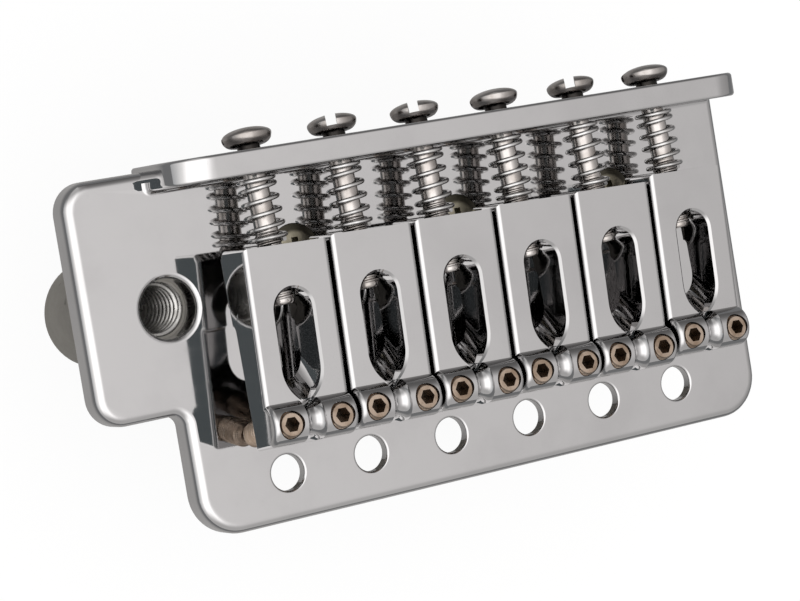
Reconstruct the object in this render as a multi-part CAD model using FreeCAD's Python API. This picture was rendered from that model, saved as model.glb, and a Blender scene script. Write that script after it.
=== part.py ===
import FreeCAD
import Part
import math
import os
from FreeCAD import Vector

# Guitar tremolo bridge, in millimetres.
# The origin is the middle of the row of pivot holes, on the top face of the base plate.
# +X runs along the plate from the arm side to the bass side, +Y to the rear flange, +Z out of the plate.
# Intonation screws and springs rise from the flange holes to the saddles. The saddles are drawn square
# to the plate, then swung about the flange holes, noses to the arm side.

# Strings
STRING_COUNT = 6
STRING_PITCH = 10.5

# Base plate
PLATE_LEFT_MARGIN = 10.97
PLATE_RIGHT_MARGIN = 11.86
PLATE_FRONT = 5.4
PLATE_REAR = 35.4
PLATE_THICKNESS = 3.25
PLATE_CORNER_R = 4.9
TAB_REACH = 9.82
TAB_FRONT = 8.55
TAB_CORNER_R = 3.3
STEP_CORNER_R = 1.3
TOP_EDGE_R = 1.2
BOTTOM_EDGE_R = 0.3
PIVOT_HOLE_R = 2.0
PIVOT_BEVEL = 2.05
STRING_HOLE_R = 2.5
HOLE_RIM_R = 0.3
STRING_HOLE_Y = 18.3

# Rear flange
FLANGE_THICKNESS = 2.74
FLANGE_BEHIND_TAB = 0.57
FLANGE_ABOVE_SCREW = 3.86
FLANGE_CORNER_R = 5.0
FLANGE_EDGE_R = 0.4
FLANGE_FOOT_R = 0.6

# Arm socket under the tab
ARM_INSET = 10.14
ARM_Y = 20.03
ARM_HOLE_R = 3.25
ARM_RIM_R = 0.65
ARM_THREAD_R = 3.0
ARM_THREAD_DEPTH = 15.5
BOSS_R = 6.1
BOSS_LENGTH = 18.0
BOSS_EDGE_R = 0.6
BOSS_WEB = 9.0

# Tremolo block
BLOCK_LEFT_MARGIN = 4.75
BLOCK_RIGHT_MARGIN = 7.75
BLOCK_AHEAD_OF_STRINGS = 5.0
BLOCK_BEHIND_STRINGS = 10.0
BLOCK_DEPTH = 32.0
BLOCK_CORNER_R = 2.0
BLOCK_EDGE = 0.7
STRING_BORE_R = 1.6
BALL_BORE_R = 3.0
BALL_BORE_DEPTH = 20.0
SPRING_HOLE_R = 1.7
SPRING_HOLE_DEPTH = 9.0
SPRING_HOLE_OFFSET = 6.8

# Block screws, oval countersunk heads with a cross recess
BLOCK_SCREW_OFFSET = 5.4
BLOCK_SCREW_R = 2.0
BLOCK_SCREW_HEAD_R = 3.0
BLOCK_SCREW_RIM = 0.3
BLOCK_SCREW_CROWN = 0.5
BLOCK_SCREW_LENGTH = 11.0
BLOCK_SCREW_CLEARANCE = 0.06
RECESS_LENGTH = 3.0
RECESS_WIDTH = 0.8
RECESS_DEPTH = 1.1

# Intonation screws; the height of their axes is at the middle of the flange
SCREW_AXIS_HEIGHT = 3.7
SCREW_RISE_DEG = 6.0
SCREW_R = 1.45
SCREW_LENGTH = 17.4
SCREW_HEAD_R = 2.75
SCREW_HEAD_RIM = 1.1
SCREW_HEAD_DOME = 0.9
SCREW_HEAD_GAP = 0.35
SCREW_SLOT_WIDTH = 1.15
SCREW_SLOT_DEPTH = 1.4
SCREW_TIP_CHAMFER = 0.4
SCREW_SLOT_TURNS_DEG = (-20.0, 62.0, 59.0, -25.0, 57.0, -22.0)
FLANGE_HOLE_CLEARANCE = 0.3
THREAD_CLEARANCE = 0.05

# Saddles, with heights from the screw's axis at the flange
SADDLE_SWING_DEG = 1.55
SADDLE_GAP = 0.4
SADDLE_ABOVE_SCREW = 5.2
HEEL_BELOW_SCREW = 0.95
HEEL_LENGTH = 8.2
HEEL_CHAMFER = 0.8
TOE_STEP = 0.6
UNDERSIDE_SLOPE_DEG = 5.0
SADDLE_EDGE_R = 0.55
NOSE_OFFSET = 18.8
NOSE_R = 2.3
NOSE_RISE = 1.75
NOSE_LEAN_DEG = 7.4
WAIST_R = 1.15
WAIST_DEPTH = 0.75
SLOT_WIDTH = 4.5
SLOT_TIP_WIDTH = 1.1
SLOT_REAR_WALL = 4.73
SLOT_TAPER = 3.5
SLOT_EDGE = 0.26
STRING_RAMP_DEG = 58.0
# Distance from the flange to each saddle, as the six strings are set
SADDLE_SETBACK = (7.7, 7.73, 7.84, 7.83, 7.98, 7.56)

# Height screws in the saddle noses
HEIGHT_SCREW_R = 1.45
HEIGHT_SCREW_INSET = 2.01
HEIGHT_SCREW_LENGTH = 10.2
HEIGHT_SCREW_TIP_GAP = 0.42
HEIGHT_SCREW_TIP_R = 0.8
HEIGHT_SCREW_EDGE = 0.25
HEX_ACROSS_FLATS = 1.5
HEX_DEPTH = 1.8

# Springs on the intonation screws
WIRE_DIAMETER = 0.5
SPRING_OUTER_R = 2.2
SPRING_OPEN_TURNS = 4
SPRING_FLANGE_GAP = 0.2
SPRING_SADDLE_GAP = 0.15
SPRING_CLOSED_GAP = 0.46

# How far a cut runs past the faces that it opens
OVERRUN = 1.0

# Places worked out from the sizes above
STRING_REACH = (STRING_COUNT - 1) * STRING_PITCH / 2
PLATE_LEFT = -STRING_REACH - PLATE_LEFT_MARGIN
PLATE_RIGHT = STRING_REACH + PLATE_RIGHT_MARGIN
TAB_LEFT = PLATE_LEFT - TAB_REACH
ARM_X = TAB_LEFT + ARM_INSET
UNDERSIDE = -PLATE_THICKNESS
TAB_REAR = PLATE_REAR - FLANGE_BEHIND_TAB
FLANGE_FRONT = PLATE_REAR - FLANGE_THICKNESS
FLANGE_MIDDLE = PLATE_REAR - FLANGE_THICKNESS / 2
FLANGE_TOP = SCREW_AXIS_HEIGHT + FLANGE_ABOVE_SCREW
BLOCK_BOTTOM = UNDERSIDE - BLOCK_DEPTH
SADDLE_WIDTH = STRING_PITCH - SADDLE_GAP
SADDLE_TOP = SCREW_AXIS_HEIGHT + SADDLE_ABOVE_SCREW
HEEL_BOTTOM = SCREW_AXIS_HEIGHT - HEEL_BELOW_SCREW
HEIGHT_SCREW_OFFSET = SADDLE_WIDTH / 2 - HEIGHT_SCREW_INSET
NOSE_TOP = SADDLE_TOP + NOSE_RISE
NOSE_CENTRE_Z = NOSE_TOP - NOSE_R
NOSE_REACH = math.sqrt(NOSE_R ** 2 - (SADDLE_TOP - NOSE_CENTRE_Z) ** 2)
NUMBERS = range(1, STRING_COUNT + 1)
X_AXIS = Vector(1, 0, 0)
Y_AXIS = Vector(0, 1, 0)
Z_AXIS = Vector(0, 0, 1)


def string_x(number):
    return (number - 1) * STRING_PITCH - STRING_REACH


def saddle_rear(number):
    return FLANGE_FRONT - SADDLE_SETBACK[number - 1]


def nose_line(number):
    return saddle_rear(number) - NOSE_OFFSET


def block_screw_places():
    reach = 2 * STRING_PITCH
    return [Vector(x, STRING_HOLE_Y + BLOCK_SCREW_OFFSET, 0) for x in (-reach, 0, reach)]


def swung(shape, number):
    """Turn a piece that was drawn square to the plate about the middle of its flange hole."""
    shape.rotate(Vector(string_x(number), FLANGE_MIDDLE, 0), Z_AXIS, -SADDLE_SWING_DEG)
    return shape


def raised(shape):
    """Turn a level piece on the screw's line about the middle of the flange, saddle end up."""
    shape.rotate(Vector(0, FLANGE_MIDDLE, SCREW_AXIS_HEIGHT), X_AXIS, -SCREW_RISE_DEG)
    return shape


def leaned(shape, number):
    """Lean an upright piece in the nose about the top of the nose, foot forward."""
    shape.rotate(Vector(0, nose_line(number), NOSE_TOP), X_AXIS, -NOSE_LEAN_DEG)
    return shape


def box(x0, x1, y0, y1, z0, z1):
    return Part.makeBox(x1 - x0, y1 - y0, z1 - z0, Vector(x0, y0, z0))


def rod(start, axis, radius, length):
    return Part.makeCylinder(radius, length, start, axis)


def prism(points, way):
    return Part.Face(Part.makePolygon(points + points[:1])).extrude(way)


def cap_middle(radius, height):
    """Halfway along the arc of a round cap: distance from its axis, and height above its rim."""
    sphere = (radius ** 2 + height ** 2) / (2 * height)
    half_angle = math.asin(radius / sphere) / 2
    return sphere * math.sin(half_angle), height - sphere * (1 - math.cos(half_angle))


def edges_where(shape, test):
    return [edge for edge in shape.Edges if test(edge)]


def upright(edge):
    extent = edge.BoundBox
    return extent.XLength < 1e-6 and extent.YLength < 1e-6


def level(edge, z):
    extent = edge.BoundBox
    return abs(extent.ZMin - z) < 1e-6 and abs(extent.ZMax - z) < 1e-6


def circle_at(edge, radius):
    return isinstance(edge.Curve, Part.Circle) and abs(edge.Curve.Radius - radius) < 1e-6


def plate_slab():
    """Flat plate with the tab beside it, its corners rounded in plan."""
    corners = [
        (PLATE_LEFT, -PLATE_FRONT, PLATE_CORNER_R),
        (PLATE_RIGHT, -PLATE_FRONT, PLATE_CORNER_R),
        (PLATE_RIGHT, TAB_REAR, None),
        (TAB_LEFT, TAB_REAR, TAB_CORNER_R),
        (TAB_LEFT, TAB_FRONT, TAB_CORNER_R),
        (PLATE_LEFT, TAB_FRONT, STEP_CORNER_R),
    ]
    slab = prism([Vector(x, y, UNDERSIDE) for x, y, _ in corners], Z_AXIS * PLATE_THICKNESS)
    for x, y, radius in corners:
        if radius is None:
            continue
        middle = Vector(x, y, UNDERSIDE / 2)
        here = edges_where(slab, lambda e: upright(e) and e.BoundBox.Center.distanceToPoint(middle) < 1e-3)
        slab = slab.makeFillet(radius, here)
    slab = slab.makeFillet(TOP_EDGE_R, edges_where(slab, lambda e: level(e, 0)))
    return slab.makeFillet(BOTTOM_EDGE_R, edges_where(slab, lambda e: level(e, UNDERSIDE)))


def rear_flange():
    """Upright wall with rounded upper corners, and the hollow fillet at its foot."""
    wall = box(PLATE_LEFT, PLATE_RIGHT, FLANGE_FRONT, PLATE_REAR, UNDERSIDE, FLANGE_TOP)
    shoulders = edges_where(wall, lambda e: level(e, FLANGE_TOP) and e.BoundBox.YLength > 1e-6)
    wall = wall.makeFillet(FLANGE_CORNER_R, shoulders)
    rims = edges_where(wall, lambda e: e.BoundBox.YLength < 1e-6 and e.BoundBox.ZMax > 0)
    wall = wall.makeFillet(FLANGE_EDGE_R, rims)
    return wall.fuse(flange_foot(PLATE_LEFT + FLANGE_EDGE_R, PLATE_RIGHT - TOP_EDGE_R))


def flange_foot(left, right):
    """Hollow fillet along the front of the flange and round its arm-side end."""
    reach = FLANGE_EDGE_R + FLANGE_FOOT_R
    post = Vector(left, FLANGE_FRONT + FLANGE_EDGE_R, 0)

    def profile(way):
        bulge = FLANGE_FOOT_R * (1 - math.sqrt(0.5))
        high = post + way * FLANGE_EDGE_R + Z_AXIS * FLANGE_FOOT_R
        low = post + way * reach
        hollow = Part.Arc(high, post + way * (FLANGE_EDGE_R + bulge) + Z_AXIS * bulge, low).toShape()
        corners = [
            low,
            low - Z_AXIS * TOP_EDGE_R,
            post - Z_AXIS * TOP_EDGE_R,
            post + Z_AXIS * FLANGE_FOOT_R,
            high,
        ]
        return Part.Face(Part.Wire([hollow] + Part.makePolygon(corners).Edges))

    front = profile(-Y_AXIS).extrude(X_AXIS * (right - left))
    corner = profile(-Y_AXIS).revolve(post, -Z_AXIS, 90)
    end = profile(-X_AXIS).extrude(Y_AXIS * (TAB_REAR - TOP_EDGE_R - post.y))
    return front.fuse([corner, end])


def base_plate():
    """Plate, tab and flange with every hole that goes through them."""
    holes = [rod(Vector(ARM_X, ARM_Y, UNDERSIDE), Z_AXIS, ARM_HOLE_R, PLATE_THICKNESS)]
    for number in NUMBERS:
        pivot = Vector(string_x(number), 0, UNDERSIDE)
        string = Vector(string_x(number), STRING_HOLE_Y, UNDERSIDE)
        holes.append(rod(pivot, Z_AXIS, PIVOT_HOLE_R, PLATE_THICKNESS))
        holes.append(Part.makeCone(PIVOT_HOLE_R + PIVOT_BEVEL, PIVOT_HOLE_R, PIVOT_BEVEL, pivot))
        holes.append(rod(string, Z_AXIS, STRING_HOLE_R, PLATE_THICKNESS))
    plate = plate_slab().cut(Part.makeCompound(holes)).Solids[0]
    small_rims = edges_where(plate, lambda e: level(e, 0) and (
        circle_at(e, PIVOT_HOLE_R) or circle_at(e, STRING_HOLE_R)))
    plate = plate.makeFillet(HOLE_RIM_R, small_rims)
    arm_rim = edges_where(plate, lambda e: level(e, 0) and circle_at(e, ARM_HOLE_R))
    plate = plate.makeFillet(ARM_RIM_R, arm_rim)
    plate = plate.fuse(rear_flange()).removeSplitter()
    cuts = [block_screw(place, BLOCK_SCREW_CLEARANCE) for place in block_screw_places()]
    for number in NUMBERS:
        mouth = Vector(string_x(number), FLANGE_FRONT - OVERRUN, SCREW_AXIS_HEIGHT)
        hole = rod(mouth, Y_AXIS, SCREW_R + FLANGE_HOLE_CLEARANCE, FLANGE_THICKNESS + 2 * OVERRUN)
        cuts.append(raised(hole))
    return plate.cut(Part.makeCompound(cuts)).Solids[0]


def block_screw(place, clearance):
    """Countersunk screw from the plate top into the block; with a clearance it is its own hole."""
    shank = BLOCK_SCREW_R + clearance
    head = BLOCK_SCREW_HEAD_R + clearance
    tip = -BLOCK_SCREW_LENGTH - clearance
    shoulder = -BLOCK_SCREW_RIM - (head - shank)
    side = [
        Vector(head, 0, 0),
        Vector(head, 0, -BLOCK_SCREW_RIM),
        Vector(shank, 0, shoulder),
        Vector(shank, 0, tip),
        Vector(0, 0, tip),
        Vector(0, 0, BLOCK_SCREW_CROWN),
    ]
    out, up = cap_middle(head, BLOCK_SCREW_CROWN)
    dome = Part.Arc(side[-1], Vector(out, 0, up), side[0]).toShape()
    screw = Part.Face(Part.Wire(Part.makePolygon(side).Edges + [dome])).revolve(Vector(), Z_AXIS, 360)
    screw.translate(place)
    return screw


def block_screws():
    """Three screws that hold the block, each with a cross recess."""
    screws = []
    floor = BLOCK_SCREW_CROWN - RECESS_DEPTH
    for place in block_screw_places():
        screw = block_screw(place, 0)
        for across, along in ((RECESS_LENGTH, RECESS_WIDTH), (RECESS_WIDTH, RECESS_LENGTH)):
            screw = screw.cut(box(
                place.x - across / 2, place.x + across / 2, place.y - along / 2, place.y + along / 2,
                floor, BLOCK_SCREW_CROWN + OVERRUN))
        screws.append(screw)
    return Part.makeCompound(screws)


def tremolo_block():
    """Inertia block under the plate with the arm boss on its end."""
    left = -STRING_REACH - BLOCK_LEFT_MARGIN
    right = STRING_REACH + BLOCK_RIGHT_MARGIN
    front = STRING_HOLE_Y - BLOCK_AHEAD_OF_STRINGS
    rear = STRING_HOLE_Y + BLOCK_BEHIND_STRINGS
    block = box(left, right, front, rear, BLOCK_BOTTOM, UNDERSIDE)
    block = block.makeFillet(BLOCK_CORNER_R, edges_where(block, upright))
    block = block.makeChamfer(BLOCK_EDGE, edges_where(block, lambda e: level(e, BLOCK_BOTTOM)))
    boss_bottom = UNDERSIDE - BOSS_LENGTH
    boss = rod(Vector(ARM_X, ARM_Y, boss_bottom), Z_AXIS, BOSS_R, BOSS_LENGTH)
    boss = boss.makeFillet(BOSS_EDGE_R, edges_where(boss, lambda e: level(e, boss_bottom)))
    web = box(ARM_X, left + BLOCK_CORNER_R, ARM_Y - BOSS_WEB / 2, ARM_Y + BOSS_WEB / 2,
              boss_bottom + BOSS_EDGE_R, UNDERSIDE)
    block = block.fuse([boss, web]).removeSplitter()
    bores = [rod(Vector(ARM_X, ARM_Y, UNDERSIDE - ARM_THREAD_DEPTH), Z_AXIS, ARM_THREAD_R, ARM_THREAD_DEPTH)]
    for number in NUMBERS:
        foot = Vector(string_x(number), STRING_HOLE_Y, BLOCK_BOTTOM)
        bores.append(rod(foot, Z_AXIS, STRING_BORE_R, BLOCK_DEPTH))
        bores.append(rod(foot, Z_AXIS, BALL_BORE_R, BALL_BORE_DEPTH))
    for number in NUMBERS[:-1]:
        foot = Vector(string_x(number) + STRING_PITCH / 2, STRING_HOLE_Y + SPRING_HOLE_OFFSET, BLOCK_BOTTOM)
        bores.append(rod(foot, Z_AXIS, SPRING_HOLE_R, SPRING_HOLE_DEPTH))
    bores += [block_screw(place, BLOCK_SCREW_CLEARANCE) for place in block_screw_places()]
    return block.cut(Part.makeCompound(bores)).Solids[0]


def saddle(number):
    """One saddle: heel, string slot, raised round nose with a waist for the string, and its tapped holes."""
    x = string_x(number)
    rear = saddle_rear(number)
    nose_y = nose_line(number)
    body = saddle_body(x, rear, nose_y)
    body = body.cut(saddle_slot(x, rear, nose_y))
    body = body.cut(nose_waist(x, nose_y))
    into_slot = FLANGE_MIDDLE - rear + SLOT_REAR_WALL + SLOT_WIDTH / 2
    bores = [raised(rod(Vector(x, FLANGE_MIDDLE, SCREW_AXIS_HEIGHT), -Y_AXIS, SCREW_R + THREAD_CLEARANCE,
                        into_slot / math.cos(math.radians(SCREW_RISE_DEG))))]
    for offset in (-HEIGHT_SCREW_OFFSET, HEIGHT_SCREW_OFFSET):
        bore = rod(Vector(x + offset, nose_y, HEEL_BOTTOM), Z_AXIS, HEIGHT_SCREW_R + THREAD_CLEARANCE,
                   NOSE_TOP - HEEL_BOTTOM + OVERRUN)
        bores.append(swung(leaned(bore, number), number))
    return swung(body, number).cut(Part.makeCompound(bores)).Solids[0]


def saddle_body(x, rear, nose_y):
    """Side view of the saddle carried across its width, with the side edges rounded."""
    left = x - SADDLE_WIDTH / 2
    nose_front = nose_y - NOSE_R
    step = rear - HEEL_LENGTH
    rise = math.tan(math.radians(UNDERSIDE_SLOPE_DEG))
    heel_end = HEEL_BOTTOM + HEEL_LENGTH * rise
    toe_start = heel_end + TOE_STEP
    hollow_middle = TOE_STEP * (1 - math.sqrt(0.5))

    def at(y, z):
        return Vector(left, y, z)

    root = at(nose_y + NOSE_REACH, SADDLE_TOP)
    round_nose = Part.Arc(root, at(nose_y, NOSE_TOP), at(nose_front, NOSE_CENTRE_Z)).toShape()
    toe = at(step - TOE_STEP, toe_start)
    deepest = at(step - hollow_middle, toe_start - hollow_middle)
    hollow = Part.Arc(toe, deepest, at(step, heel_end)).toShape()
    toe_end = toe_start + (toe.y - nose_front) * rise
    toe_front = nose_front - (NOSE_CENTRE_Z - toe_end) * math.tan(math.radians(NOSE_LEAN_DEG))
    front = [at(nose_front, NOSE_CENTRE_Z), at(toe_front, toe_end), toe]
    heel = [
        at(step, heel_end),
        at(rear - HEEL_CHAMFER, HEEL_BOTTOM),
        at(rear, HEEL_BOTTOM + HEEL_CHAMFER),
        at(rear, SADDLE_TOP),
        root,
    ]
    front_edges = Part.makePolygon(front).Edges
    heel_edges = Part.makePolygon(heel).Edges
    outline = Part.Wire([round_nose] + front_edges + [hollow] + heel_edges)
    body = Part.Face(outline).extrude(X_AXIS * SADDLE_WIDTH)
    return body.makeFillet(SADDLE_EDGE_R, edges_where(body, lambda e: e.BoundBox.XLength < 1e-6))


def saddle_slot(x, rear, nose_y):
    """String slot: round at the rear, drawn in to the nose over a round trough, its upper edge flared."""
    half = SLOT_WIDTH / 2
    tip_half = SLOT_TIP_WIDTH / 2
    centre = rear - SLOT_REAR_WALL - half
    root = nose_y + NOSE_REACH
    bend = root + SLOT_TAPER
    ramp = math.radians(STRING_RAMP_DEG)
    waist = NOSE_R - WAIST_DEPTH
    crest = Vector(x, nose_y + waist * math.sin(ramp), NOSE_CENTRE_Z + waist * math.cos(ramp))
    draw_in = half - tip_half
    taper_r = (SLOT_TAPER ** 2 + draw_in ** 2) / (2 * draw_in)
    taper_half_angle = math.asin(SLOT_TAPER / taper_r) / 2
    taper_out = half - taper_r * (1 - math.cos(taper_half_angle))
    taper_y = bend - taper_r * math.sin(taper_half_angle)

    def outline(grow, z):
        def at(side, out, y):
            return Vector(x + side * (out + grow), y, z)

        rearmost = Vector(x, centre + half + grow, z)
        return Part.Wire([
            Part.Arc(at(-1, half, centre), rearmost, at(1, half, centre)).toShape(),
            Part.makeLine(at(1, half, centre), at(1, half, bend)),
            Part.Arc(at(1, half, bend), at(1, taper_out, taper_y), at(1, tip_half, root)).toShape(),
            Part.makeLine(at(1, tip_half, root), at(-1, tip_half, root)),
            Part.Arc(at(-1, tip_half, root), at(-1, taper_out, taper_y), at(-1, half, bend)).toShape(),
            Part.makeLine(at(-1, half, bend), at(-1, half, centre)),
        ])

    bottom = HEEL_BOTTOM - OVERRUN
    well = Part.Face(outline(0, bottom)).extrude(Z_AXIS * (SADDLE_TOP - bottom))
    channel = box(x - tip_half, x + tip_half, crest.y, root, bottom, NOSE_TOP)
    down = Vector(0, math.cos(ramp), -math.sin(ramp))
    trough_start = crest + Vector(0, math.sin(ramp), math.cos(ramp)) * half - down * SLOT_WIDTH
    trough_run = 2 * SLOT_WIDTH + (crest.z - bottom) / math.sin(ramp)
    aside = X_AXIS * half
    under_trough = [
        trough_start - aside,
        trough_start - aside + down * trough_run,
        Vector(x - half, crest.y - SLOT_WIDTH, bottom - SLOT_WIDTH),
    ]
    front_fill = prism(under_trough, X_AXIS * SLOT_WIDTH).cut(rod(trough_start, down, half, trough_run))
    well = well.fuse(channel).cut(front_fill)
    flare = Part.makeLoft(
        [outline(0, SADDLE_TOP - SLOT_EDGE), outline(2 * SLOT_EDGE, SADDLE_TOP + SLOT_EDGE)], True, True)
    return well.fuse(flare)


def nose_waist(x, nose_y):
    """Ring that draws the nose in at its middle, from its root over the top and down its front."""
    ring = Part.makeTorus(NOSE_R + WAIST_R - WAIST_DEPTH, WAIST_R, Vector(x, nose_y, NOSE_CENTRE_Z), X_AXIS)
    reach = NOSE_R + 2 * WAIST_R
    over_nose = box(x - reach, x + reach, nose_y - reach, nose_y + NOSE_REACH,
                    NOSE_CENTRE_Z - NOSE_R / 2, NOSE_CENTRE_Z + reach)
    return ring.common(over_nose)


def height_screw(number, side):
    """Socket set screw with a blunt cone point that stands on the plate."""
    x = string_x(number) + side * HEIGHT_SCREW_OFFSET
    y = nose_line(number)
    lean = math.radians(NOSE_LEAN_DEG)
    drop = NOSE_TOP - HEIGHT_SCREW_TIP_GAP - HEIGHT_SCREW_TIP_R * abs(math.sin(lean))
    foot = NOSE_TOP - drop / math.cos(lean)
    top = foot + HEIGHT_SCREW_LENGTH

    def at(radius, z):
        return Vector(x + radius, y, z)

    outline = [
        at(0, foot),
        at(HEIGHT_SCREW_TIP_R, foot),
        at(HEIGHT_SCREW_R, foot + HEIGHT_SCREW_R - HEIGHT_SCREW_TIP_R),
        at(HEIGHT_SCREW_R, top - HEIGHT_SCREW_EDGE),
        at(HEIGHT_SCREW_R - HEIGHT_SCREW_EDGE, top),
        at(0, top),
    ]
    screw = Part.Face(Part.makePolygon(outline + outline[:1])).revolve(at(0, 0), Z_AXIS, 360)
    corner = HEX_ACROSS_FLATS / 2 / math.cos(math.pi / 6)
    turns = [k * math.pi / 3 for k in range(6)]
    socket = [Vector(x + corner * math.cos(a), y + corner * math.sin(a), top - HEX_DEPTH) for a in turns]
    screw = screw.cut(prism(socket, Z_AXIS * (HEX_DEPTH + OVERRUN)))
    return swung(leaned(screw, number), number)


def intonation_screw(number):
    """Slotted round-head screw through the flange into the saddle's heel."""
    x = string_x(number)
    seat = PLATE_REAR + SCREW_HEAD_GAP
    tip = seat - SCREW_LENGTH
    rim = seat + SCREW_HEAD_RIM
    crown = rim + SCREW_HEAD_DOME

    def at(radius, y):
        return Vector(x + radius, y, SCREW_AXIS_HEIGHT)

    sides = [
        at(0, crown),
        at(0, tip),
        at(SCREW_R - SCREW_TIP_CHAMFER, tip),
        at(SCREW_R, tip + SCREW_TIP_CHAMFER),
        at(SCREW_R, seat),
        at(SCREW_HEAD_R - SCREW_HEAD_RIM, seat),
    ]
    widest = at(SCREW_HEAD_R, rim)
    bulge = SCREW_HEAD_RIM * math.sqrt(0.5)
    edge = Part.Arc(sides[-1], at(SCREW_HEAD_R - SCREW_HEAD_RIM + bulge, rim - bulge), widest).toShape()
    dome = Part.ArcOfEllipse(Part.Ellipse(widest, at(0, crown), at(0, rim)), 0, math.pi / 2).toShape()
    half = Part.Wire(Part.makePolygon(sides).Edges + [edge, dome])
    screw = Part.Face(half).revolve(at(0, 0), Y_AXIS, 360)
    reach = SCREW_HEAD_R + OVERRUN
    slot = box(x - reach, x + reach, crown - SCREW_SLOT_DEPTH, crown + OVERRUN,
               SCREW_AXIS_HEIGHT - SCREW_SLOT_WIDTH / 2, SCREW_AXIS_HEIGHT + SCREW_SLOT_WIDTH / 2)
    slot.rotate(at(0, 0), Y_AXIS, SCREW_SLOT_TURNS_DEG[number - 1])
    return raised(screw.cut(slot))


def arc_from_tangent(start, apex, end):
    """Arc from start to end whose end tangents meet at the apex."""
    middle = (start + end) * 0.5
    chord = end - start
    lean = (apex - start).getAngle(chord)
    sag = chord.Length / 2 * math.tan(lean / 2)
    return Part.Arc(start, middle + (apex - middle).normalize() * sag, end).toShape()


def biarc(start, start_way, end, end_way):
    """Two arcs that join two points smoothly along the given directions."""
    gap = end - start
    both = start_way + end_way
    square = 2 * (1 - start_way.dot(end_way))
    linear = gap.dot(both)
    reach = (math.sqrt(linear ** 2 + square * gap.dot(gap)) - linear) / square
    first = start + start_way * reach
    second = end - end_way * reach
    joint = (first + second) * 0.5
    return [arc_from_tangent(start, first, joint), arc_from_tangent(joint, second, end)]


def intonation_spring(number):
    """Compression spring of round wire: a close turn at each end and open turns between."""
    x = string_x(number)
    near = FLANGE_FRONT - SPRING_FLANGE_GAP - WIRE_DIAMETER / 2
    far = saddle_rear(number) + SPRING_SADDLE_GAP + WIRE_DIAMETER / 2
    radius = SPRING_OUTER_R - WIRE_DIAMETER / 2
    closed_pitch = WIRE_DIAMETER + SPRING_CLOSED_GAP
    open_pitch = (near - far - 2 * closed_pitch) / SPRING_OPEN_TURNS
    pitches = [closed_pitch] + [open_pitch] * SPRING_OPEN_TURNS + [closed_pitch]
    turns = len(pitches)
    rise = math.tan(math.radians(SCREW_RISE_DEG))

    def point(turn):
        whole = min(int(turn), turns - 1)
        y = near - sum(pitches[:whole]) - (turn - whole) * pitches[whole]
        axis = SCREW_AXIS_HEIGHT + (FLANGE_MIDDLE - y) * rise
        angle = 2 * math.pi * turn
        return Vector(x + radius * math.cos(angle), y, axis + radius * math.sin(angle))

    def way(turn):
        step = 1e-4
        return (point(min(turn + step, turns)) - point(max(turn - step, 0))).normalize()

    quarters = [k / 4 for k in range(4 * turns + 1)]
    edges = []
    for start, end in zip(quarters, quarters[1:]):
        edges += biarc(point(start), way(start), point(end), way(end))
    path = Part.Wire(edges)
    section = Part.Wire(Part.makeCircle(WIRE_DIAMETER / 2, point(0), way(0)))
    tube = path.makePipeShell([section], True, False)
    report_spring(number, path, tube, turns)
    return tube


def report_spring(number, path, tube, turns):
    """Print the wire's least gap to itself, measured on points, and its volume over section times length."""
    samples = path.discretize(Number=120 * turns)
    half_turn = 60
    least = min(
        a.distanceToPoint(b) for i, a in enumerate(samples) for b in samples[i + half_turn:])
    swept = math.pi * WIRE_DIAMETER ** 2 / 4 * path.Length
    print("spring", number, "least gap", round(least - WIRE_DIAMETER, 3), "mm, volume ratio",
          round(tube.Volume / swept, 4))


def all_nodes():
    nodes = {"base_plate": base_plate(), "tremolo_block": tremolo_block(), "block_screws": block_screws()}
    for number in NUMBERS:
        nodes["saddle_%d" % number] = saddle(number)
        nodes["intonation_screw_%d" % number] = intonation_screw(number)
        nodes["intonation_spring_%d" % number] = intonation_spring(number)
        nodes["height_screw_%d_treble" % number] = height_screw(number, -1)
        nodes["height_screw_%d_bass" % number] = height_screw(number, 1)
    return nodes


os.makedirs("parts", exist_ok=True)
for name, shape in all_nodes().items():
    print(name, "valid" if shape.isValid() else "NOT VALID", len(shape.Solids), round(shape.Volume, 2))
    shape.exportStep("parts/%s.step" % name)
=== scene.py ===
"""Chromed guitar tremolo bridge standing on its block on a white table."""
import math
import bmesh
import bpy
from mathutils import Euler, Matrix, Vector


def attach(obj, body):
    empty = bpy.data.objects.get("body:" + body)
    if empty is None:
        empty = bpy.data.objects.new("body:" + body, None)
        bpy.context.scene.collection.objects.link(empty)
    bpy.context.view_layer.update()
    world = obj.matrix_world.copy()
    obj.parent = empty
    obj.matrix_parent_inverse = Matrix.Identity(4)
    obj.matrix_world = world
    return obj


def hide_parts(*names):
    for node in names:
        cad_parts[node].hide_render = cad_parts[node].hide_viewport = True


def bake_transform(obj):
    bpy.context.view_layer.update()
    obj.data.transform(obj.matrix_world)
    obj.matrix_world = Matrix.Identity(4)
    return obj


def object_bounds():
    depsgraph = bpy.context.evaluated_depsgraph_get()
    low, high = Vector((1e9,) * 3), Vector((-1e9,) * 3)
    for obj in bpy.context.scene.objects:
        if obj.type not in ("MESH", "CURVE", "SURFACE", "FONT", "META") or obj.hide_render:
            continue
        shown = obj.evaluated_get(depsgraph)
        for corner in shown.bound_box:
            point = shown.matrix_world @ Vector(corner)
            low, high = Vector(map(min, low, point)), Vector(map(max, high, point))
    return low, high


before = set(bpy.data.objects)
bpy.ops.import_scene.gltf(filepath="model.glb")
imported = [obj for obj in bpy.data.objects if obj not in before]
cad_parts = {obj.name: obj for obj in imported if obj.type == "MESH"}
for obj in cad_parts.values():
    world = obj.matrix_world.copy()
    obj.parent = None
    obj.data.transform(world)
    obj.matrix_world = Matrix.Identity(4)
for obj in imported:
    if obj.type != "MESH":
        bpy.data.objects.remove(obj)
cad_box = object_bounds()

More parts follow.
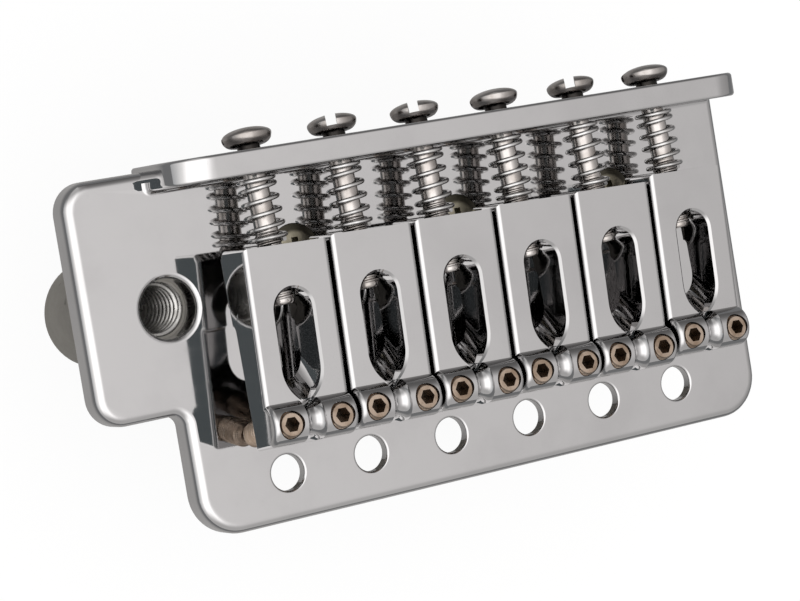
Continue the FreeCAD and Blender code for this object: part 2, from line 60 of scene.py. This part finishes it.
# Sizes of the bridge, in metres
MM = 0.001
STRINGS = range(1, 7)
STRING_PITCH = 10.5 * MM
FIRST_STRING_X = -STRING_PITCH * (len(STRINGS) - 1) / 2
FLANGE_FRONT = 32.66 * MM
FLANGE_MIDDLE = 34.03 * MM
SCREW_AXIS_HEIGHT = 3.7 * MM
SCREW_RISE = math.radians(6.0)
SADDLE_SWING = math.radians(1.55)
SADDLE_SETBACK = [gap * MM for gap in (7.7, 7.73, 7.84, 7.83, 7.98, 7.56)]
NOSE_OFFSET = 18.8 * MM
NOSE_TOP = 10.65 * MM
NOSE_LEAN = math.radians(7.4)
HEIGHT_SCREW_OFFSET = 3.04 * MM
HEIGHT_SCREW_POINT = 0.5 * MM
HEIGHT_SCREW_RIM = 0.1 * MM
SOCKET_R = 0.9 * MM
SOCKET_MOUTH = 0.3 * MM
SOCKET_ABOVE_POINT = 2.0 * MM
SCREW_R = 1.45 * MM
SCREW_TIP = 0.35 * MM
SCREW_PITCH = 0.5 * MM
SCREW_THREAD_DEPTH = 0.17 * MM
THREAD_PAST_SADDLE = 1.0 * MM
SHANK_INSIDE_THREAD = 0.02 * MM
# Along each intonation screw: where painted shade on the neck begins and is full, and where the head's
# deeper tone begins and is full
NECK_START_Y = 35.15 * MM
NECK_SHADE_Y = 35.4 * MM
HEAD_START_Y = 35.85 * MM
HEAD_EDGE_Y = 36.1 * MM
BLOCK_SCREW_STEP = 2 * STRING_PITCH
BLOCK_SCREW_Y = 23.7 * MM
# Painted shade ring round each block screw's head begins and is full at these radii
BLOCK_SCREW_LIT_R = 1.9 * MM
BLOCK_SCREW_SHADE_R = 2.4 * MM
ARM_X = -36.9 * MM
ARM_Y = 20.03 * MM
ARM_THREAD_R = 3.0 * MM
ARM_THREAD_PITCH = 1.0 * MM
ARM_THREAD_DEPTH = 0.5 * MM
ARM_THREAD_TOP = -3.35 * MM
ARM_THREAD_LENGTH = 15.3 * MM
ARM_THREAD_RUN_OUT = 0.5 * MM
WIRE_R = 0.25 * MM
SPRING_R = 2.2 * MM
SPRING_END_PITCH = 0.58 * MM
SPRING_OPEN_TURNS = 4.0
SPRING_FLANGE_GAP = 0.2 * MM
SPRING_SADDLE_GAP = 0.15 * MM
SAME_PLACE = 0.0001 * MM

# Edges sharper than these stay crisp
CAST_EDGE_DEG = 25.0
TURNED_EDGE_DEG = 30.0

# The photograph's camera, and a glowing sheet round its lens that paints the dim room's reflection
CAMERA_PLACE = (-0.148733, 0.033121, 0.251100)
CAMERA_TURN_DEG = (1.8291, -29.2191, -10.6940)
CAMERA_LENS_MM = 115.7037
ROOM_REFLECTION_R = 0.13
ROOM_REFLECTION_STRETCH = 1.3
ROOM_REFLECTION_DROP = 0.025
ROOM_REFLECTION_BEHIND_LENS = 0.004

# White table, with painted shade darkening it away from the block
TABLE_HALF = 3.0
TABLE_BELOW_BLOCK = 0.05 * MM
TABLE_PALE_R = 0.06
TABLE_GREY_R = 0.14


def turned_about(place, angle, axis):
    return Matrix.Translation(place) @ Matrix.Rotation(angle, 4, axis) @ Matrix.Translation(-Vector(place))


# Intonation screws are drawn level, then raised at their saddle end about the flange holes
RAISED = turned_about((0, FLANGE_MIDDLE, SCREW_AXIS_HEIGHT), -SCREW_RISE, "X")


class Signal:
    """A node's output that takes part in arithmetic: each operator adds one Math node."""

    def __init__(self, tree, socket):
        self.tree = tree
        self.socket = socket

    def math(self, operation, *others):
        return self.tree.math(operation, self, *others)

    def __add__(self, other):
        return self.tree.math("ADD", self, other)

    def __radd__(self, other):
        return self.tree.math("ADD", other, self)

    def __sub__(self, other):
        return self.tree.math("SUBTRACT", self, other)

    def __rsub__(self, other):
        return self.tree.math("SUBTRACT", other, self)

    def __mul__(self, other):
        return self.tree.math("MULTIPLY", self, other)

    def __rmul__(self, other):
        return self.tree.math("MULTIPLY", other, self)

    def __truediv__(self, other):
        return self.tree.math("DIVIDE", self, other)

    def __rtruediv__(self, other):
        return self.tree.math("DIVIDE", other, self)

    def at_least(self, other):
        return self.tree.math("MAXIMUM", self, other)

    def at_most(self, other):
        return self.tree.math("MINIMUM", self, other)

    def between(self, low, high):
        """0 below low, 1 above high, and smooth between them."""
        return self.tree.node("ShaderNodeMapRange", {"interpolation_type": "SMOOTHSTEP"},
                              {"Value": self, "From Min": low, "From Max": high})


class Tree:
    """A node tree of a material, of the world or of a modifier, filled by expressions."""

    def __init__(self, tree):
        self.tree = tree
        tree.nodes.clear()

    def node(self, kind, settings=None, sockets=None, output=0):
        node = self.tree.nodes.new(kind)
        for name, value in (settings or {}).items():
            if name == "stops":
                for stop, (place, colour) in zip(self.ramp_stops(node, len(value)), value):
                    stop.position = place
                    stop.color = (*colour, 1.0)
            else:
                setattr(node, name, value)
        for key, value in (sockets or {}).items():
            if isinstance(value, Signal):
                self.tree.links.new(value.socket, node.inputs[key])
            else:
                node.inputs[key].default_value = value
        return Signal(self, node.outputs[output]) if len(node.outputs) else None

    @staticmethod
    def ramp_stops(node, count):
        stops = node.color_ramp.elements
        while len(stops) < count:
            stops.new(1.0)
        return stops

    def math(self, operation, *values):
        return self.node("ShaderNodeMath", {"operation": operation}, dict(enumerate(values)))

    def mix(self, share, first, second):
        """Colour between the first, at 0, and the second, at 1."""
        return self.node("ShaderNodeMix", {"data_type": "RGBA"}, {
            "Factor": share,
            "A": first if isinstance(first, Signal) else (*first, 1.0),
            "B": second if isinstance(second, Signal) else (*second, 1.0),
        }, 2)

    def noise(self, where, scale, detail=2.0, roughness=0.5, stretch=(1.0, 1.0, 1.0)):
        if stretch != (1.0, 1.0, 1.0):
            where = self.node("ShaderNodeMapping", None, {"Vector": where, "Scale": stretch})
        return self.node("ShaderNodeTexNoise", None, {
            "Vector": where, "Scale": scale, "Detail": detail, "Roughness": roughness})


def finish(name):
    """A new material, its tree and the object's own coordinates."""
    material = bpy.data.materials.new(name)
    material.use_nodes = True
    tree = Tree(material.node_tree)
    where = tree.node("ShaderNodeTexCoord", None, None, "Object")
    return material, tree, where


def coat(tree, sockets):
    """Close a material with its surface."""
    surface = tree.node("ShaderNodeBsdfPrincipled", None, sockets)
    tree.node("ShaderNodeOutputMaterial", None, {"Surface": surface})


def polished_chrome(name, dark, light, along):
    """Plated mirror: faint haze from handling, hair lines from the buffing wheel and a slow ripple."""
    material, tree, where = finish(name)
    haze = tree.noise(where, 90.0, 4.0, 0.6).between(0.42, 0.72)
    hair = tree.noise(where, 900.0, 2.0, 0.5, along).between(0.5, 0.8)
    specks = tree.noise(where, 2600.0, 1.0).between(0.70, 0.78)
    ripple = tree.noise(where, 320.0, 1.0)
    tint = tree.mix(haze * 0.7 + specks * 0.3, light, dark)
    bump = tree.node("ShaderNodeBump", None, {
        "Strength": 0.012, "Distance": 0.0002, "Height": ripple + hair * 0.15})
    rough = 0.045 + haze * 0.045 + hair * 0.03
    coat(tree, {"Base Color": tint, "Metallic": 1.0, "Roughness": rough, "Normal": bump})
    return material


def plain_steel(name, dark, light, rough, grain=500.0, shade_and_tone_mask=None):
    """Turned and plated steel with tool marks and dull patches, drawn nearly black where a mask paints
    shade into it (on intonation screws the same mask gives the heads a deeper tone).
    """
    material, tree, where = finish(name)
    shade_and_tone_share = shade_and_tone_mask(tree, where) if shade_and_tone_mask else 0.0
    patches = tree.noise(where, grain, 3.0, 0.6).between(0.35, 0.7)
    marks = tree.noise(where, grain * 6, 2.0)
    bump = tree.node("ShaderNodeBump", None, {
        "Strength": 0.08, "Distance": 0.00008, "Height": marks + patches * 0.4})
    # Painted shade: the mask pulls the colour towards near black
    colour = tree.mix(shade_and_tone_share, tree.mix(patches, light, dark), [part * 0.07 for part in dark])
    coat(tree, {
        "Base Color": colour, "Metallic": 1.0,
        "Roughness": rough + patches * 0.12 + marks * 0.06, "Normal": bump})
    return material


def axis_of(tree, where, axis):
    return tree.node("ShaderNodeSeparateXYZ", None, {0: where}, axis)


def shaded_neck_dark_head(tree, where):
    """Painted shade on the neck in the gap behind the flange, and heads drawn in a deeper tone than the
    shank.
    """
    along = axis_of(tree, where, 1)
    neck = along.between(NECK_START_Y, NECK_SHADE_Y)
    head = along.between(HEAD_START_Y, HEAD_EDGE_Y)
    return neck * (1.0 - head * 0.82)


def painted_socket_shade(tree, where):
    """Painted shade in the depth of a set screw's socket."""
    return tree.node("ShaderNodeAttribute", {"attribute_name": "hollow"}, None, "Fac") * 0.75


def painted_rim_shade(tree, where):
    """Painted shade round the edge of each block screw's head."""
    across = (axis_of(tree, where, 0) + BLOCK_SCREW_STEP / 2).math("MODULO", BLOCK_SCREW_STEP)
    across = (across + BLOCK_SCREW_STEP).math("MODULO", BLOCK_SCREW_STEP) - BLOCK_SCREW_STEP / 2
    along = axis_of(tree, where, 1) - BLOCK_SCREW_Y
    radius = (across * across + along * along).math("SQRT")
    return radius.between(BLOCK_SCREW_LIT_R, BLOCK_SCREW_SHADE_R) * 0.85


def cast_zinc(name):
    """Block as it leaves the mould: dull grey, grainy, a little browned, worn brighter in places."""
    material, tree, where = finish(name)
    cloud = tree.noise(where, 60.0, 4.0, 0.6).between(0.3, 0.7)
    grain = tree.noise(where, 1400.0, 3.0, 0.6)
    pits = tree.noise(where, 700.0, 2.0).between(0.66, 0.78)
    colour = tree.mix(cloud, (0.36, 0.345, 0.315), (0.27, 0.258, 0.235))
    colour = tree.mix(pits * 0.6, colour, (0.12, 0.11, 0.10))
    bump = tree.node("ShaderNodeBump", None, {
        "Strength": 0.35, "Distance": 0.0001, "Height": grain - pits})
    coat(tree, {"Base Color": colour, "Metallic": 0.75, "Roughness": 0.42 + grain * 0.2, "Normal": bump})
    return material


PLATE_CHROME = polished_chrome(
    "plate_chrome", (0.515, 0.508, 0.508), (0.565, 0.558, 0.558), (0.05, 1.0, 1.0))
SADDLE_CHROME = polished_chrome(
    "saddle_chrome", (0.51, 0.503, 0.503), (0.555, 0.548, 0.548), (1.0, 0.05, 1.0))
NICKEL_SCREW = plain_steel(
    "nickel_screw", (0.41, 0.375, 0.35), (0.55, 0.52, 0.50), 0.12, 500.0, shaded_neck_dark_head)
SPRING_WIRE = plain_steel(
    "spring_wire", (0.45, 0.44, 0.43), (0.60, 0.59, 0.585), 0.10, 700.0)
WARM_SET_SCREW = plain_steel(
    "warm_set_screw", (0.30, 0.22, 0.16), (0.50, 0.40, 0.32), 0.22, 500.0, painted_socket_shade)
WARM_BLOCK_SCREW = plain_steel(
    "warm_block_screw", (0.26, 0.24, 0.18), (0.36, 0.33, 0.26), 0.25, 300.0, painted_rim_shade)
CAST_ZINC = cast_zinc("cast_zinc")
CUT_THREAD = plain_steel("cut_thread", (0.40, 0.39, 0.37), (0.58, 0.57, 0.55), 0.20)


def string_x(number):
    return FIRST_STRING_X + (number - 1) * STRING_PITCH


def saddle_rear(number):
    return FLANGE_FRONT - SADDLE_SETBACK[number - 1]


def nose_line(number):
    return saddle_rear(number) - NOSE_OFFSET


def on_axis(x, y):
    """Place on an intonation screw's axis."""
    return Vector((x, y, SCREW_AXIS_HEIGHT + (FLANGE_MIDDLE - y) * math.tan(SCREW_RISE)))


def new_group(name, numbers):
    """A modifier tree with named number inputs, a material input and a geometry output."""
    group = bpy.data.node_groups.new(name, "GeometryNodeTree")
    group.interface.new_socket("Geometry", in_out="OUTPUT", socket_type="NodeSocketGeometry")
    for label, value in numbers.items():
        socket = group.interface.new_socket(label, in_out="INPUT", socket_type="NodeSocketFloat")
        socket.default_value = value
    group.interface.new_socket("Finish", in_out="INPUT", socket_type="NodeSocketMaterial")
    tree = Tree(group)
    entry = group.nodes.new("NodeGroupInput")
    return group, tree, {socket.name: Signal(tree, socket) for socket in entry.outputs if socket.name}


def close_group(tree, geometry, material):
    geometry = tree.node("GeometryNodeSetShadeSmooth", None, {"Geometry": geometry})
    geometry = tree.node("GeometryNodeRealizeInstances", None, {"Geometry": geometry})
    geometry = tree.node("GeometryNodeSetMaterial", None, {"Geometry": geometry, "Material": material})
    tree.node("NodeGroupOutput", None, {"Geometry": geometry})


def thread_group():
    """A screw thread along +Z: a sheet rolled into a tube, its radius driven by the helix."""
    group, tree, size = new_group("screw_thread", {
        "Length": 0.01, "Pitch": SCREW_PITCH, "Root Radius": SCREW_R, "Height": SCREW_THREAD_DEPTH,
        "Run Out": 0.0004, "Around": 24.0, "Per Turn": 8.0, "Inside": 0.0})
    steps = (size["Length"] / size["Pitch"] * size["Per Turn"]).math("CEIL")
    sheet = tree.node("GeometryNodeMeshGrid", None, {
        "Size X": 1.0, "Size Y": 1.0, "Vertices X": size["Around"] + 1.0, "Vertices Y": steps + 1.0})
    flat = tree.node("GeometryNodeInputPosition")
    turn = axis_of(tree, flat, 0) + 0.5
    along = (axis_of(tree, flat, 1) + 0.5) * size["Length"]
    flank = ((along / size["Pitch"] - turn).math("FRACT") * 2.0 - 1.0).math("ABSOLUTE")
    crest = (flank * 1.5 - 0.25).at_least(0.0).at_most(1.0)
    end = along.at_most(size["Length"] - along)
    run_out = (end / size["Run Out"]).at_most(1.0).at_least(0.0)
    radius = size["Root Radius"] + size["Height"] * crest * run_out
    angle = turn * (2 * math.pi)
    place = tree.node("ShaderNodeCombineXYZ", None, {
        "X": radius * angle.math("COSINE"), "Y": radius * angle.math("SINE"), "Z": along})
    tube = tree.node("GeometryNodeSetPosition", None, {"Geometry": sheet, "Position": place})
    tube = tree.node("GeometryNodeMergeByDistance", None, {"Geometry": tube, "Distance": SAME_PLACE})
    inside = tree.node("FunctionNodeCompare", {"operation": "GREATER_THAN"}, {0: size["Inside"], 1: 0.5})
    tube = tree.node("GeometryNodeFlipFaces", None, {"Mesh": tube, "Selection": inside})
    close_group(tree, tube, size["Finish"])
    return group


def coil_group():
    """A compression spring along -Y, rising: a close turn at each end, open turns between, round wire."""
    group, tree, size = new_group("coil_spring", {
        "Near": 0.03, "Far": 0.02, "End Pitch": SPRING_END_PITCH, "Open Turns": SPRING_OPEN_TURNS,
        "Coil Radius": SPRING_R - WIRE_R, "Wire Radius": WIRE_R, "Steps": 40.0,
        "Rise": math.tan(SCREW_RISE), "Rises From": FLANGE_MIDDLE})
    turns = size["Open Turns"] + 2.0
    line = tree.node("GeometryNodeCurvePrimitiveLine")
    line = tree.node("GeometryNodeResampleCurve", None, {
        "Curve": line, "Count": turns * size["Steps"] + 1.0})
    turn = tree.node("GeometryNodeSplineParameter", None, None, "Factor") * turns
    open_pitch = (size["Near"] - size["Far"] - size["End Pitch"] * 2.0) / size["Open Turns"]
    first = turn.at_most(1.0) * size["End Pitch"]
    middle = (turn - 1.0).at_least(0.0).at_most(size["Open Turns"]) * open_pitch
    last = (turn - (turns - 1.0)).at_least(0.0) * size["End Pitch"]
    angle = turn * (2 * math.pi)
    along = size["Near"] - first - middle - last
    place = tree.node("ShaderNodeCombineXYZ", None, {
        "X": size["Coil Radius"] * angle.math("COSINE"),
        "Y": along,
        "Z": size["Coil Radius"] * angle.math("SINE") + (size["Rises From"] - along) * size["Rise"]})
    line = tree.node("GeometryNodeSetPosition", None, {"Geometry": line, "Position": place})
    round_wire = tree.node("GeometryNodeCurvePrimitiveCircle", None, {
        "Resolution": 14, "Radius": size["Wire Radius"]})
    wire = tree.node("GeometryNodeCurveToMesh", None, {
        "Curve": line, "Profile Curve": round_wire, "Fill Caps": True})
    close_group(tree, wire, size["Finish"])
    return group


def grown(group, material, numbers):
    """The plain mesh that a modifier tree gives for these sizes."""
    holder = bpy.data.objects.new("holder", bpy.data.meshes.new("holder"))
    bpy.context.scene.collection.objects.link(holder)
    modifier = holder.modifiers.new("tree", "NODES")
    modifier.node_group = group
    for item in group.interface.items_tree:
        if item.name == "Finish":
            modifier[item.identifier] = material
        elif item.in_out == "INPUT":
            modifier[item.identifier] = numbers.get(item.name, item.default_value)
    holder.update_tag()
    depsgraph = bpy.context.evaluated_depsgraph_get()
    mesh = bpy.data.meshes.new_from_object(holder.evaluated_get(depsgraph))
    bpy.data.objects.remove(holder)
    return mesh


def joined_copy(node):
    """A copy of a CAD node's mesh with its loose triangles joined."""
    work = bmesh.new()
    work.from_mesh(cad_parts[node].data)
    bmesh.ops.remove_doubles(work, verts=work.verts, dist=SAME_PLACE)
    return work


def shade(work, angle_deg):
    """Round faces shade smoothly, and an edge sharper than the angle stays crisp."""
    limit = math.radians(angle_deg)
    for face in work.faces:
        face.smooth = True
        face.material_index = 0
    for edge in work.edges:
        edge.smooth = len(edge.link_faces) == 2 and edge.calc_face_angle(0.0) < limit


def place_piece(name, mesh, material):
    mesh.materials.clear()
    mesh.materials.append(material)
    piece = bpy.data.objects.new(name, mesh)
    bpy.context.scene.collection.objects.link(piece)
    return piece


def mesh_of(work, name):
    mesh = bpy.data.meshes.new(name)
    work.to_mesh(mesh)
    work.free()
    return mesh


def clean_mesh(mesh):
    """Flat faces keep their own normals beside rounded edges."""
    piece = bpy.data.objects.new("smoothing", mesh)
    bpy.context.scene.collection.objects.link(piece)
    weighted = piece.modifiers.new("weighted", "WEIGHTED_NORMAL")
    weighted.keep_sharp = True
    weighted.weight = 80
    depsgraph = bpy.context.evaluated_depsgraph_get()
    result = bpy.data.meshes.new_from_object(piece.evaluated_get(depsgraph))
    bpy.data.objects.remove(piece)
    return result


def finished_node(node, name, material, body):
    """The CAD node's own shape, smoothed and finished."""
    work = joined_copy(node)
    shade(work, CAST_EDGE_DEG)
    piece = place_piece(name, clean_mesh(mesh_of(work, name)), material)
    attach(piece, body)
    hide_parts(node)


def threaded_screw(node, name, material, axis, start, length):
    """The CAD screw with its plain shank drawn in to the thread's root, and a thread on it."""
    root = SCREW_R - SCREW_THREAD_DEPTH
    to_axis = axis.inverted()
    work = joined_copy(node)
    # The socket's depth is marked for painted shade
    hollow = work.verts.layers.float.new("hollow")
    for vertex in work.verts:
        local = to_axis @ vertex.co
        radius = math.hypot(local.x, local.y)
        deep = start + SOCKET_ABOVE_POINT < local.z < start + length - SOCKET_MOUTH
        vertex[hollow] = float(deep and radius < SOCKET_R)
        if abs(radius - SCREW_R) < SHANK_INSIDE_THREAD:
            share = (root - SHANK_INSIDE_THREAD) / radius
            vertex.co = axis @ Vector((local.x * share, local.y * share, local.z))
    shade(work, TURNED_EDGE_DEG)
    thread = grown(SCREW_THREAD, material, {"Length": length, "Root Radius": root})
    thread.transform(axis @ Matrix.Translation((0, 0, start)))
    work.from_mesh(thread)
    piece = place_piece(name, mesh_of(work, name), material)
    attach(piece, node)
    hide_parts(node)


def extent_along(node, axis):
    """Lowest and highest place of a node along the Z of an axis."""
    to_axis = axis.inverted()
    places = [(to_axis @ vertex.co).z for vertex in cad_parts[node].data.vertices]
    return min(places), max(places)


def arm_socket_thread():
    """Thread in the block for the arm, under the hole in the tab."""
    thread = grown(SCREW_THREAD, CUT_THREAD, {
        "Length": ARM_THREAD_LENGTH, "Pitch": ARM_THREAD_PITCH, "Root Radius": ARM_THREAD_R,
        "Height": -ARM_THREAD_DEPTH, "Run Out": ARM_THREAD_RUN_OUT, "Around": 48.0, "Per Turn": 10.0,
        "Inside": 1.0})
    thread.transform(Matrix.Translation((ARM_X, ARM_Y, ARM_THREAD_TOP - ARM_THREAD_LENGTH)))
    socket = place_piece("arm_socket_thread", thread, CUT_THREAD)
    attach(socket, "bridge")


def saddle_block(number):
    body = "saddle_%d" % number
    finished_node(body, "saddle_block_%d" % number, SADDLE_CHROME, body)


def slotted_screw(number):
    """Intonation screw, threaded from its tip to just past the saddle."""
    node = "intonation_screw_%d" % number
    rearward = Matrix.Rotation(math.radians(-90), 4, "X")
    axis = RAISED @ Matrix.Translation((string_x(number), 0, SCREW_AXIS_HEIGHT)) @ rearward
    tip = extent_along(node, axis)[0]
    threaded_screw(node, "slotted_screw_%d" % number, NICKEL_SCREW, axis, tip + SCREW_TIP,
                   saddle_rear(number) + THREAD_PAST_SADDLE - tip)


def socket_screw(number, side, way):
    """Height screw in one end of a saddle's nose."""
    node = "height_screw_%d_%s" % (number, side)
    x = string_x(number)
    nose_y = nose_line(number)
    swung = turned_about((x, FLANGE_MIDDLE, 0), -SADDLE_SWING, "Z")
    leaned = turned_about((0, nose_y, NOSE_TOP), -NOSE_LEAN, "X")
    axis = swung @ leaned @ Matrix.Translation((x + way * HEIGHT_SCREW_OFFSET, nose_y, 0))
    foot, top = extent_along(node, axis)
    threaded_screw(node, "socket_screw_%d_%s" % (number, side), WARM_SET_SCREW, axis,
                   foot + HEIGHT_SCREW_POINT, top - foot - HEIGHT_SCREW_POINT - HEIGHT_SCREW_RIM)


def coil(number):
    """Spring on an intonation screw, from the flange to its saddle."""
    x = string_x(number)
    near = FLANGE_FRONT - SPRING_FLANGE_GAP - WIRE_R
    far = saddle_rear(number) + SPRING_SADDLE_GAP + WIRE_R
    wire = grown(COIL_SPRING, SPRING_WIRE, {"Near": near, "Far": far})
    wire.transform(Matrix.Translation((x, 0, SCREW_AXIS_HEIGHT)))
    spring = place_piece("coil_%d" % number, wire, SPRING_WIRE)
    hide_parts("intonation_spring_%d" % number)
    on_axis(x, near)
    on_axis(x, far)
    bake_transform(spring)


def white_table():
    """White ground that the bridge stands on; it keeps the soft shadow under the block, and outside camera
    rays its colour has painted shade that deepens away from the block.
    """
    mesh = bpy.data.meshes.new("table")
    z = cad_box[0][2] - TABLE_BELOW_BLOCK
    corners = [(x * TABLE_HALF, y * TABLE_HALF, z) for x, y in ((-1, -1), (1, -1), (1, 1), (-1, 1))]
    mesh.from_pydata(corners, [], [(0, 1, 2, 3)])
    material, tree, where = finish("table_white")
    seen = tree.node("ShaderNodeLightPath", None, None, "Is Camera Ray")
    glossy = tree.node("ShaderNodeLightPath", None, None, "Is Glossy Ray")
    through = tree.node("ShaderNodeLightPath", None, None, "Is Transmission Ray")
    across = tree.node("ShaderNodeVectorMath", {"operation": "LENGTH"}, {0: where}, "Value")
    # Painted shade: away from the block the table's colour for rays other than camera rays falls towards
    # grey
    painted_falloff = tree.mix(
        across.between(TABLE_PALE_R, TABLE_GREY_R), (0.38, 0.375, 0.37), (0.12, 0.125, 0.13))
    matt = tree.node("ShaderNodeBsdfDiffuse", None, {"Color": tree.mix(seen, painted_falloff, (1.0, 1.0, 1.0))})
    glow = tree.node("ShaderNodeEmission", None, {"Color": (1.0, 1.0, 1.0, 1.0), "Strength": 1.0})
    white = (seen.at_least(through) * 0.9).at_least(glossy * 0.12)
    surface = tree.node("ShaderNodeMixShader", None, {"Fac": white, 1: matt, 2: glow})
    tree.node("ShaderNodeOutputMaterial", None, {"Surface": surface})
    place_piece("table", mesh, material)


def studio_light():
    """Pale room: bright from above to the left, greyer to the right and front, dim behind."""
    world = bpy.data.worlds.new("studio")
    bpy.context.scene.world = world
    world.use_nodes = True
    tree = Tree(world.node_tree)
    toward = tree.node("ShaderNodeTexCoord", None, None, "Generated")

    def facing(way):
        way = Vector(way).normalized()
        return tree.node(
            "ShaderNodeVectorMath", {"operation": "DOT_PRODUCT"}, {0: toward, 1: way}, "Value")

    lean = tree.math("ARCTAN2", facing((-1, 0, 0)), facing((0, 0, 1)))
    ramp = tree.node("ShaderNodeValToRGB", {"stops": [
        (0.0, (0.2, 0.196, 0.195)), (0.17, (0.267, 0.262, 0.261)), (0.295, (0.389, 0.381, 0.379)),
        (0.378, (0.505, 0.495, 0.493)), (0.433, (0.626, 0.615, 0.613)), (0.478, (0.84, 0.83, 0.828)),
        (0.522, (0.96, 0.95, 0.945)), (0.78, (0.96, 0.95, 0.945)), (0.845, (0.64, 0.635, 0.63)),
        (0.92, (0.46, 0.46, 0.46)), (1.0, (0.3, 0.305, 0.31))]}, {"Fac": lean / math.pi + 0.5})
    colour = tree.mix(facing((0, -1, 0)).between(0.4, 0.9), ramp, (0.31, 0.305, 0.303))
    level = 2.0 - facing((0, 1, 0)).between(0.3, 0.85) * 1.3
    seen = tree.node("ShaderNodeLightPath", None, None, "Is Camera Ray")
    backdrop = tree.node("ShaderNodeBackground", None, {
        "Color": (1.0, 1.0, 1.0, 1.0), "Strength": 1.0})
    light = tree.node("ShaderNodeBackground", None, {"Color": colour, "Strength": level})
    surface = tree.node("ShaderNodeMixShader", None, {"Fac": seen, 1: light, 2: backdrop})
    tree.node("ShaderNodeOutputWorld", None, {"Surface": surface})


def photograph_camera():
    """Camera fitted to the photograph: above the plate, leaning over from the arm's side."""
    camera = bpy.data.cameras.new("camera")
    camera.sensor_width = 36.0
    camera.lens = CAMERA_LENS_MM
    camera.clip_start = 0.01
    holder = bpy.data.objects.new("camera", camera)
    bpy.context.scene.collection.objects.link(holder)
    turned = Euler([math.radians(angle) for angle in CAMERA_TURN_DEG], "XYZ").to_matrix().to_4x4()
    place = Matrix.Translation(CAMERA_PLACE) @ turned
    holder.matrix_world = place
    bpy.context.scene.camera = holder
    painted_room_reflection(place @ Matrix.Translation((0, 0, ROOM_REFLECTION_BEHIND_LENS)))


def painted_room_reflection(place):
    """Painted reflection of the dim room round the lens: a glowing sheet seen only past the first bounce,
    in faces that mirror one another.
    """
    work = bmesh.new()
    bmesh.ops.create_circle(work, cap_ends=True, segments=48, radius=ROOM_REFLECTION_R)
    bmesh.ops.scale(work, vec=(1.0, ROOM_REFLECTION_STRETCH, 1.0), verts=work.verts)
    bmesh.ops.translate(work, vec=(0, -ROOM_REFLECTION_DROP, 0), verts=work.verts)
    material, tree, _ = finish("painted_lens_reflection")
    depth = tree.node("ShaderNodeLightPath", None, None, "Ray Depth")
    # Painted reflection: the sheet glows dim blue-grey for rays past the first bounce and is clear to the
    # rest
    clear = tree.node("ShaderNodeBsdfTransparent")
    dim = tree.node("ShaderNodeEmission", None, {
        "Color": (0.16, 0.185, 0.195, 1.0), "Strength": 1.0})
    surface = tree.node("ShaderNodeMixShader", None, {
        "Fac": depth.math("GREATER_THAN", 1.5), 1: clear, 2: dim})
    tree.node("ShaderNodeOutputMaterial", None, {"Surface": surface})
    mesh = mesh_of(work, "lens_reflection_sheet")
    mesh.transform(place)
    lens = place_piece("lens_reflection_sheet", mesh, material)
    lens.visible_camera = False
    lens.visible_diffuse = False
    lens.visible_shadow = False


SCREW_THREAD = thread_group()
COIL_SPRING = coil_group()

finished_node("base_plate", "plate", PLATE_CHROME, "bridge")
finished_node("tremolo_block", "block", CAST_ZINC, "bridge")
finished_node("block_screws", "block_screw_heads", WARM_BLOCK_SCREW, "bridge")
arm_socket_thread()
for number in STRINGS:
    saddle_block(number)
    slotted_screw(number)
    socket_screw(number, "treble", -1)
    socket_screw(number, "bass", 1)
    coil(number)

white_table()
studio_light()
photograph_camera()
bpy.context.scene.view_settings.view_transform = "Standard"
